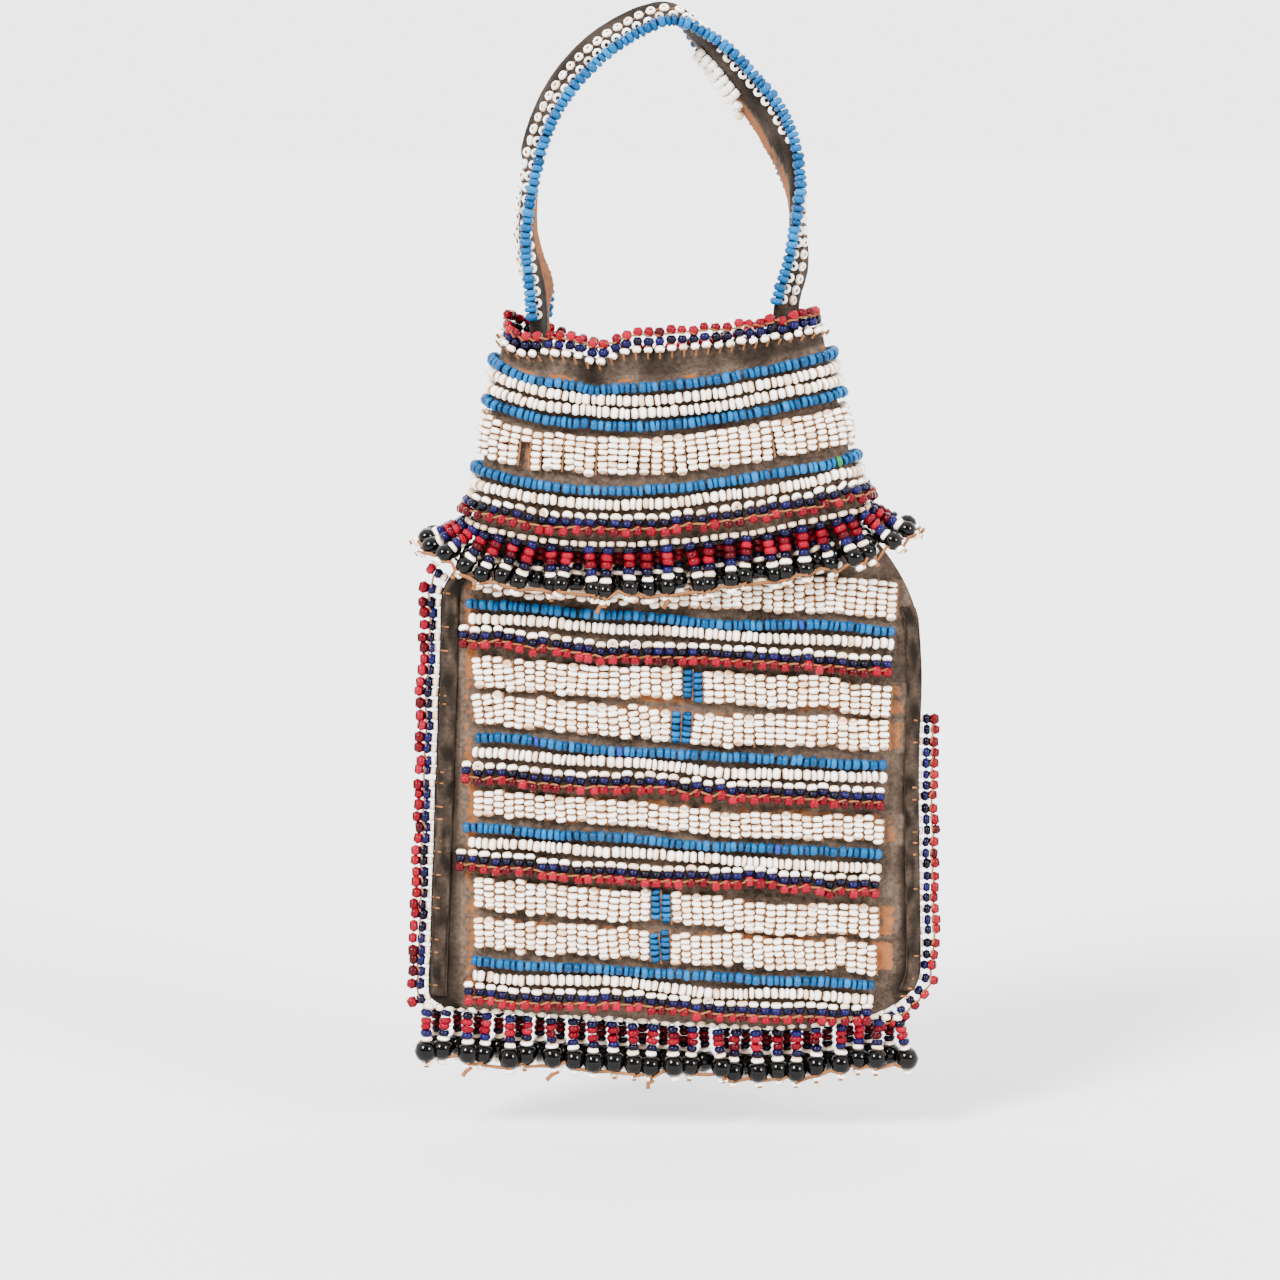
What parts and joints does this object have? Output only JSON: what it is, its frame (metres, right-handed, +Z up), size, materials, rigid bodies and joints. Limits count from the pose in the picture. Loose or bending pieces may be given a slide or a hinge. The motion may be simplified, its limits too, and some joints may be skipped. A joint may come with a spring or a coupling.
{
  "type": "beaded tobacco bag",
  "caption": "Flat hide pouch with a tapered open neck and an arched strap handle, sewn with rows and bands of glass beads and hung with beaded fringes.",
  "frame": {"origin": "underside of the strap handle at its top, where a peg would carry the bag", "axes": "+Z up along the bag, +X to the right as seen from the beaded front, -Y out of the beaded front"},
  "size_m": [0.115, 0.0298, 0.234],
  "materials": {
    "hide": "worn dark hide with bare suede at the edges",
    "blue_beads": "opaque glossy glass",
    "white_beads": "opaque glass with a soft gloss, dirt between the beads",
    "red_beads": "translucent glossy glass",
    "navy_beads": "dark translucent glossy glass",
    "black_beads": "opaque polished glass"
  },
  "bodies": {
    "root": {"pouch_front_panel": "hide", "pouch_back_panel": "hide", "left_border": "hide", "right_border": "hide", "neck_tube": "hide", "strap": "hide", "strap_front_blue_row": "blue_beads", "strap_back_blue_row": "blue_beads", "strap_white_row_1": "white_beads", "strap_white_row_2": "white_beads", "strap_inner_white_patch": "white_beads", "mouth_edging": "red_beads", "neck_blue_row_1": "blue_beads", "neck_white_row_1": "white_beads", "neck_white_row_2": "white_beads", "neck_blue_row_2": "blue_beads", "neck_white_band": "white_beads", "neck_blue_row_3": "blue_beads", "neck_white_row_3": "white_beads", "neck_picot_row": "red_beads", "neck_fringe": "black_beads", "white_band_1": "white_beads", "blue_row_1": "blue_beads", "white_row_1": "white_beads", "picot_row_1": "red_beads", "white_band_left_2": "white_beads", "blue_tick_2": "blue_beads", "white_band_right_2": "white_beads", "white_band_left_3": "white_beads", "blue_tick_3": "blue_beads", "white_band_right_3": "white_beads", "blue_row_2": "blue_beads", "white_row_2": "white_beads", "picot_row_2": "red_beads", "white_band_4": "white_beads", "blue_row_3": "blue_beads", "white_row_3": "white_beads", "picot_row_3": "red_beads", "white_band_left_5": "white_beads", "blue_tick_5": "blue_beads", "white_band_right_5": "white_beads", "white_band_left_6": "white_beads", "blue_tick_6": "blue_beads", "white_band_right_6": "white_beads", "blue_row_4": "blue_beads", "white_row_4": "white_beads", "picot_row_4": "red_beads", "left_edging": "navy_beads", "right_edging": "navy_beads", "bottom_fringe": "black_beads"}
  },
  "joints": []
}
